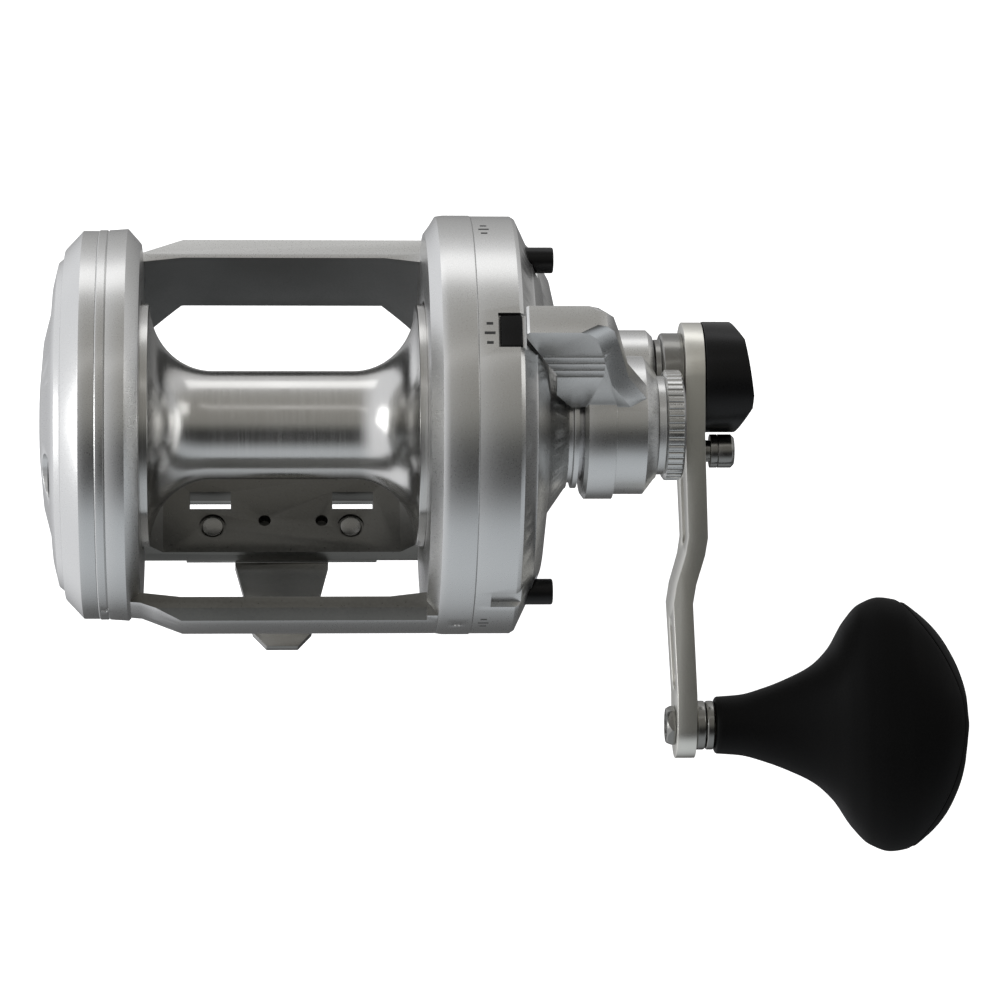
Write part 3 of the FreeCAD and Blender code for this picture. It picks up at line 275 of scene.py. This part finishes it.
def printed_strokes(name, settings, strokes):
    """Strokes printed on the rim: each is a thin curved pad from station x0 to x1, as wide as a
    small angle; its corners are (x, -r cos a, r sin a) on two radii, closed at its edges."""
    middle = np.radians([(at + aside) for at in settings for aside, _ in strokes])
    length = np.array([long for _ in settings for _, long in strokes])
    half = stroke_half_wide / rim_radius
    a = middle[:, None] + np.array([-half, half])[None, :]
    x = marks_x + np.array([-0.5, 0.5])[None, :] * length[:, None]
    radii = rim_radius + np.array([-ink_thick, ink_thick])
    grid_x = x[:, :, None, None] + 0 * a[:, None, :, None] + 0 * radii[None, None, None, :]
    grid_a = 0 * grid_x + a[:, None, :, None]
    grid_r = 0 * grid_x + radii[None, None, None, :]
    verts = np.stack([grid_x, -grid_r * np.cos(grid_a), axis_z + grid_r * np.sin(grid_a)], -1)
    corner = np.array([(0, 2, 6, 4), (1, 5, 7, 3), (0, 4, 5, 1), (2, 3, 7, 6), (0, 1, 3, 2),
                       (4, 6, 7, 5)])
    faces = corner[None] + 8 * np.arange(len(middle))[:, None, None]
    return closed_skin(name, verts, faces)


add(printed_strokes("setting_marks", lever_settings, strokes), mark_ink, "housing",
    "black_plastic")

# ---------------------------------------------------------------- foot and small steel pieces
# The foot is polished steel, the screw ends are riveted over in their seats.
polished_steel = finish_material("polished_steel", (0.24, 0.237, 0.225), 0.22, 0.08, 1200.0)
eased_copy("foot", "reel_foot", 0.0005, polished_steel, "housing")
eased_copy("foot_screws", "riveted_screws", 0.0003, polished_steel, "housing")

# ---------------------------------------------------------------- spool
# Turned from bar and polished on the lathe, so fine rings run round it and it mirrors its
# surroundings in long streaks.
turned_bright = finish_material("turned_bright", (0.56, 0.555, 0.54), 0.21, 0.12, 900.0,
                                streak=(7000.0, 1.6), patch=0.07, relief=0.2)
turned_bright.node_tree.nodes["Principled BSDF"].inputs["Anisotropic"].default_value = 0.4
spool_low, spool_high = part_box("spool")


def turned(name, outline, centre, steps):
    """Closed surface of revolution: the outline (x, radius) carried round an axis parallel to X,
    so a point is (x, cy + r cos a, cz + r sin a)."""
    angles = np.linspace(0.0, 2 * np.pi, steps, endpoint=False)
    x = np.repeat(outline[:, 0][:, None], steps, axis=1)
    r = outline[:, 1][:, None]
    verts = np.stack([x, centre[0] + r * np.cos(angles), centre[1] + r * np.sin(angles)], -1)
    i, j = np.arange(len(outline))[:, None], np.arange(steps)[None, :]
    k, n = (i + 1) % len(outline), (j + 1) % steps
    faces = np.stack([i * steps + j, i * steps + n, k * steps + n, k * steps + j], -1)
    return closed_skin(name, verts, faces, 35.0)


flange = (spool_high[2] - spool_low[2]) / 2
face_x = spool_high[0]
inner_x = face_x - 0.003                # where the flange's rim begins
arbor, arbor_half, spool_bore = 0.0135, 0.0176, 0.008
edge = 0.0003                           # chamfer on the flange's outer edge
# each flange is a quarter of an ellipse that rises from the arbor to the rim
sweep = np.linspace(0.0, np.pi / 2, 22)
hollow = np.stack([arbor_half + (inner_x - arbor_half) * np.sin(sweep),
                   arbor + (flange - edge - arbor) * (1 - np.cos(sweep))], -1)
rim = [(inner_x + 0.0002, flange), (face_x - edge, flange), (face_x, flange - edge),
       (face_x, spool_bore)]
right_half = np.concatenate([hollow, rim])
left_half = right_half[::-1] * (-1.0, 1.0)
add(turned("line_spool", np.concatenate([left_half, right_half]), (0.0, axis_z), 220),
    turned_bright, "spool", "spool_aluminium", "spool")

# ---------------------------------------------------------------- lever
# Forged and anodised drag lever, ribbed where the thumb pushes it, on a turned hub.
eased_copy("drag_lever", "lever_arm", 0.0004, blasted_silver, "lever")

# ---------------------------------------------------------------- preset knob
# Knurled aluminium knob on a plain collar, turned on the lever's hub.
bright_knurl = finish_material("bright_knurl", (0.50, 0.50, 0.49), 0.24, 0.10, 2500.0)
eased_copy("preset_knob", "knurled_preset", 0.0002, bright_knurl, "preset")

# ---------------------------------------------------------------- handle
# The blade is cut from plate, bent and tumbled to a warm satin; its small parts are steel.
tumbled_plate = finish_material("tumbled_plate", (0.68, 0.67, 0.62), 0.32, 0.08, 2600.0,
                                patch=0.05, relief=0.07)
eased_copy("handle_blade", "bent_blade", 0.0006, tumbled_plate, "handle")
for node, name in (("handle_collar", "blade_collar"), ("spindle_nut", "hex_nut"),
                   ("grip_inner_ring", "steel_ring_inner"),
                   ("grip_outer_ring", "steel_ring_outer")):
    eased_copy(node, name, 0.0003, polished_steel, "handle")
eased_copy("release_knob", "release_pull", 0.0003, polished_steel, "release")

# ---------------------------------------------------------------- black fittings
# Moulded nylon: shift cap and button, lever stops, strike and clicker buttons.
moulded_black = finish_material("moulded_black", (0.005, 0.005, 0.0052), 0.30, 0.08, 3000.0,
                                metal=0.0, gloss_level=0.2, patch=0.12)
for node, name, body in (("shift_cap", "cap_shell", "handle"),
                         ("shift_button", "cap_button", "shift"),
                         ("lever_stop_posts", "stop_pegs", "housing"),
                         ("strike_button", "strike_stop", "strike"),
                         ("clicker_button", "clicker_push", "clicker")):
    eased_copy(node, name, 0.0005, moulded_black, body)

# ---------------------------------------------------------------- grip
# Soft rubber moulded over a nylon core, with a harder overlay on the outer end.
soft_rubber = finish_material("soft_rubber", (0.0035, 0.0035, 0.0035), 0.46, 0.12, 1900.0,
                              metal=0.0, gloss_level=0.06, patch=0.18, relief=0.35)
neck_low, neck_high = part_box("grip")
grip_start, grip_length = neck_low[0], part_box("grip_cap")[1][0] - neck_low[0]
grip_centre = ((neck_low[1] + neck_high[1]) / 2, (neck_low[2] + neck_high[2]) / 2)
hang = math.radians(211.0)              # direction the handle hangs in, from Y towards Z
neck_radius, half_wide, half_deep, bore = 0.0073, 0.0328, 0.0149, 0.005
# share of the length, then how far the width and the depth have grown from the neck's radius
swell = np.array([(0.0, 0.0, 0.0), (0.10, 0.02, 0.02), (0.20, 0.09, 0.08), (0.30, 0.19, 0.20),
                  (0.39, 0.31, 0.38), (0.46, 0.48, 0.58), (0.53, 0.76, 0.80),
                  (0.595, 0.93, 0.94), (0.675, 1.0, 1.0), (0.75, 0.97, 0.99),
                  (0.82, 0.85, 0.90), (0.89, 0.67, 0.74), (0.945, 0.44, 0.48),
                  (0.985, 0.16, 0.12), (1.0, -0.15, -0.3)])
# the lobe that hangs low reaches further out than the one above: lean of the wide axis
lobe_lean = 0.062


def smooth_line(at, knots, values):
    """Monotone cubic through the knots: Hermite pieces whose slopes are the harmonic mean of the
    slopes on both sides, and zero where those differ in sign."""
    step, rise = np.diff(knots), np.diff(values) / np.diff(knots)
    product = rise[:-1] * rise[1:]
    safe = np.where(product > 0, rise[:-1] + rise[1:], 1.0)
    slope = np.concatenate([[rise[0]], np.where(product > 0, 2 * product / safe, 0.0),
                            [rise[-1]]])
    k = np.clip(np.searchsorted(knots, at, side="right") - 1, 0, len(step) - 1)
    t = (at - knots[k]) / step[k]
    return (values[k] * (1 + 2 * t) * (1 - t) ** 2 + slope[k] * step[k] * t * (1 - t) ** 2
            + values[k + 1] * t * t * (3 - 2 * t) - slope[k + 1] * step[k] * t * t * (1 - t))


def half_sizes(share):
    """Half width and half depth of the grip at a share of its length."""
    grow = [smooth_line(share, swell[:, 0], swell[:, column]) for column in (1, 2)]
    return (neck_radius + (half_wide - neck_radius) * grow[0],
            neck_radius + (half_deep - neck_radius) * grow[1])


def paddle(name, share, wide, deep, around):
    """One closed skin of the grip.  Row by row, a point is the centre line at its share of the
    length, plus wide times cos a along the hanging handle, plus deep times sin a across it; the
    part beyond the neck's radius leans outwards on the low lobe and inwards on the high one."""
    along, across = wide * np.cos(around), deep * np.sin(around)
    lean = lobe_lean * np.sign(along) * np.maximum(np.abs(along) - neck_radius, 0.0)
    verts = np.stack([grip_start + grip_length * share + lean,
                      grip_centre[0] + along * math.cos(hang) - across * math.sin(hang),
                      grip_centre[1] + along * math.sin(hang) + across * math.cos(hang)], -1)
    rows, steps = verts.shape[:2]
    i, j = np.arange(rows - 1)[:, None], np.arange(steps)[None, :]
    n = (j + 1) % steps
    faces = np.stack([i * steps + j, i * steps + n, (i + 1) * steps + n, (i + 1) * steps + j], -1)
    return closed_skin(name, verts, faces, 40.0)


around = np.linspace(0.0, 2 * np.pi, 176, endpoint=False)[None, :]
flat = np.ones(around.shape)
# the seam bows towards the tip: it is found by stepping towards the share that fits its own width
seam_middle, seam_bow, seam_half = 0.972, 0.205, 0.031
seam = 0.9 * flat
for _ in range(60):
    reach = half_sizes(seam)[0] * np.cos(around)
    seam = 0.6 * seam + 0.4 * (seam_middle - seam_bow * (reach / seam_half) ** 2)
# the rubber: up the bore, over the neck's face, along the skin, into the seam and down to a pole
bore_depth, fold, pole = 0.74, 0.93, 0.85       # as shares of the length
skin_start, skin_gap = 0.0006 / grip_length, 0.0021 / grip_length
walk = np.linspace(0.0, 1.0, 96)[:, None] ** 0.9
skin = skin_start + (seam - skin_gap) * walk
skin_wide, skin_deep = half_sizes(skin)
lip = np.array([-0.0009, -0.0002, 0.0001])[:, None] / grip_length
lip_wide, lip_deep = half_sizes(seam + lip)
pinch = np.array([1.0, 0.994, 0.978])[:, None]
bore_rows = np.array([bore_depth, bore_depth, bore_depth / 2, 0.0])[:, None] * flat
bore_radius = np.array([0.0, bore, bore, bore])[:, None] * flat
neck_rows = np.array([[0.0], [0.0002 / grip_length]]) * flat
neck_rim = np.array([[neck_radius - 0.0006], [neck_radius - 0.0002]]) * flat
add(paddle("rubber_grip",
           np.concatenate([bore_rows, neck_rows, skin, seam + lip, fold * seam, pole * flat]),
           np.concatenate([bore_radius, neck_rim, skin_wide, lip_wide * pinch,
                           0.5 * lip_wide[2:], 0.0 * flat]),
           np.concatenate([bore_radius, neck_rim, skin_deep, lip_deep * pinch,
                           0.5 * lip_deep[2:], 0.0 * flat]), around),
    soft_rubber, "grip", "grip_rubber", "grip")
# the overlay: from a pole inside, out to the seam and over the rounded end
cap_start = seam + 0.0013 / grip_length
cap_skin = cap_start + (1.0 - cap_start) * np.linspace(0.0, 1.0, 34)[:, None]
cap_wide, cap_deep = half_sizes(cap_skin)
lip = np.array([0.0002, 0.0005, 0.0012])[:, None] / grip_length
lip_wide, lip_deep = half_sizes(seam + lip)
pinch = np.array([0.978, 0.994, 1.0])[:, None]
cap_fold, cap_pole = 0.935 * seam + 0.001, 0.86 * flat
add(paddle("grip_overlay",
           np.concatenate([cap_pole, cap_fold, seam + lip, cap_skin, flat]),
           np.concatenate([0.0 * flat, 0.5 * lip_wide[:1], lip_wide * pinch, cap_wide,
                           0.0 * flat]),
           np.concatenate([0.0 * flat, 0.5 * lip_deep[:1], lip_deep * pinch, cap_deep,
                           0.0 * flat]), around),
    soft_rubber, "grip", "grip_rubber", "grip_cap")

# ---------------------------------------------------------------- inner works
# Gears, shafts, bearings and bushes, seen only when the reel is opened.  They keep the CAD's
# shapes and take steel, bronze or friction material.
machined_steel = finish_material("machined_steel", (0.5, 0.5, 0.5), 0.3, 0.1, 1500.0)
bush_bronze = finish_material("bush_bronze", (0.55, 0.36, 0.16), 0.35, 0.1, 1500.0)
carbon_disc = finish_material("carbon_disc", (0.03, 0.03, 0.03), 0.6, 0.1, 1500.0, metal=0.0)
inner_finish = {"gear_steel": machined_steel, "bush_bronze": bush_bronze,
                "friction_black": carbon_disc, "polished_steel": polished_steel}
replaced = {"frame", "left_side_cover", "right_side_cover", "foot", "foot_screws", "spool",
            "drag_lever", "preset_knob", "handle_blade", "handle_collar", "spindle_nut",
            "grip_inner_ring", "grip_outer_ring", "release_knob", "shift_cap", "shift_button",
            "lever_stop_posts", "strike_button", "clicker_button", "grip", "grip_cap"}
for entry in frame["record"]["subparts"]:
    if entry["node"] not in replaced:
        part = next(o for o in bpy.data.objects if o.name == entry["node"])
        for slot in part.material_slots:
            slot.material = inner_finish[entry["material_slot"]]

# ---------------------------------------------------------------- studio
# A pale floor under the hanging grip, wide soft lights and a camera above the angler's side.
bpy.ops.mesh.primitive_plane_add(size=8.0, location=(0, 0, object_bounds()[0][2] - 0.03))
floor = bpy.context.object
floor.name = "pale_floor"
paper = bpy.data.materials.new("white_paper")
paper.use_nodes = True
for socket, value in (("Base Color", (0.9, 0.9, 0.9, 1)), ("Roughness", 0.9),
                      ("Emission Color", (1, 1, 1, 1)), ("Emission Strength", 0.72)):
    paper.node_tree.nodes["Principled BSDF"].inputs[socket].default_value = value
floor.data.materials.append(paper)
floor.visible_glossy = False


def soft_light(name, place, aim, size, power):
    """Rectangular area light at a place, turned towards a point."""
    data = bpy.data.lights.new(name, "AREA")
    data.shape = "RECTANGLE"
    data.size, data.size_y = size
    data.energy = power
    lamp = bpy.data.objects.new(name, data)
    bpy.context.scene.collection.objects.link(lamp)
    direction = Vector(aim) - Vector(place)
    lamp.matrix_world = Matrix.Translation(place) @ direction.to_track_quat(
        "-Z", "Y").to_matrix().to_4x4()


middle = (0.05, 0.0, axis_z)
soft_light("left_bank", (-1.3, -0.2, 0.6), middle, (0.7, 1.2), 9.0)
soft_light("back_bank", (0.1, 1.4, 0.7), middle, (1.8, 0.6), 3.0)
soft_light("top_bank", (0.0, 0.2, 1.7), middle, (1.4, 0.2), 0.35)
soft_light("right_bank", (1.3, 0.2, 0.8), middle, (0.5, 1.0), 1.6)

# The room round the table: pale low down, dark above the angler, mid grey overhead, pale at the
# back, with a pale wall on the left.  The grey goes by the angle about X; the camera sees paper.
world = bpy.context.scene.world or bpy.data.worlds.new("studio")
bpy.context.scene.world = world
world.use_nodes = True
room = world.node_tree
facing = shader_step(room, "TexCoord", {})
split = shader_step(room, "SeparateXYZ", {"Vector": facing.outputs["Generated"]})
flip = shader_step(room, "Math", {0: split.outputs["Y"], 1: -1.0}, "MULTIPLY")
arc = shader_step(room, "Math", {0: split.outputs["Z"], 1: flip.outputs[0]}, "ARCTAN2")
share = shader_step(room, "MapRange", {"Value": arc.outputs[0], "From Min": -math.pi,
                                       "From Max": math.pi})
walls = shader_step(room, "ValToRGB", {"Fac": share.outputs[0]})
# degrees up from the angler's horizon, over the top to the back, and the grey seen there
stops = [(-180, 0.60, 0.60, 0.60), (-150, 0.40, 0.40, 0.40), (-120, 0.08, 0.08, 0.08),
         (-80, 0.12, 0.12, 0.12), (-56, 0.46, 0.48, 0.50), (-28, 0.60, 0.63, 0.66),
         (2, 0.54, 0.57, 0.60), (16, 0.26, 0.27, 0.28), (26, 0.06, 0.06, 0.06),
         (43, 0.035, 0.035, 0.035), (54, 0.14, 0.14, 0.13), (63, 0.29, 0.285, 0.265),
         (85, 0.33, 0.32, 0.30), (112, 0.36, 0.35, 0.33), (133, 0.44, 0.435, 0.42),
         (152, 0.66, 0.66, 0.67), (180, 0.74, 0.74, 0.75)]
for index, (at, red, green, blue) in enumerate(stops):
    stop = walls.color_ramp.elements[index] if index < 2 else walls.color_ramp.elements.new(at)
    stop.position = (at + 180) / 360
    stop.color = (red, green, blue, 1.0)
left_share = shader_step(room, "MapRange", {"Value": split.outputs["X"], "From Min": -0.10,
                                            "From Max": -0.55})
# a colour mix has its share at input 0, its two colours at 6 and 7, and its result at output 2
left_wall = room.nodes.new("ShaderNodeMix")
seen = room.nodes.new("ShaderNodeMix")
for mix, amount, under, over in (
        (left_wall, left_share.outputs["Result"], walls.outputs["Color"],
         (0.92, 0.93, 0.96, 1.0)),
        (seen, shader_step(room, "LightPath", {}).outputs["Is Camera Ray"],
         left_wall.outputs[2], (0.86, 0.86, 0.86, 1.0))):
    mix.data_type = "RGBA"
    room.links.new(amount, mix.inputs[0])
    room.links.new(under, mix.inputs[6])
    mix.inputs[7].default_value = over
room.links.new(seen.outputs[2], room.nodes["Background"].inputs["Color"])
room.nodes["Background"].inputs["Strength"].default_value = 1.12
bpy.context.scene.view_settings.view_transform = "Standard"

camera_data = bpy.data.cameras.new("camera")
camera_data.lens = 147.6
camera_data.sensor_width = 36.0
camera_data.clip_end = 20.0
camera = bpy.data.objects.new("camera", camera_data)
bpy.context.scene.collection.objects.link(camera)
rise, distance = math.radians(59.0), 1.025
pan, tilt = math.radians(-3.573), math.radians(-1.053)
aim = Vector((-0.00975, 0.0, axis_z))
place = aim + Vector((0.0, -math.cos(rise), math.sin(rise))) * distance
turn = (Matrix.Rotation(math.pi / 2 - rise, 4, "X") @ Matrix.Rotation(pan, 4, "Y")
        @ Matrix.Rotation(tilt, 4, "X"))
camera.matrix_world = Matrix.Translation(place) @ turn
bpy.context.scene.camera = camera
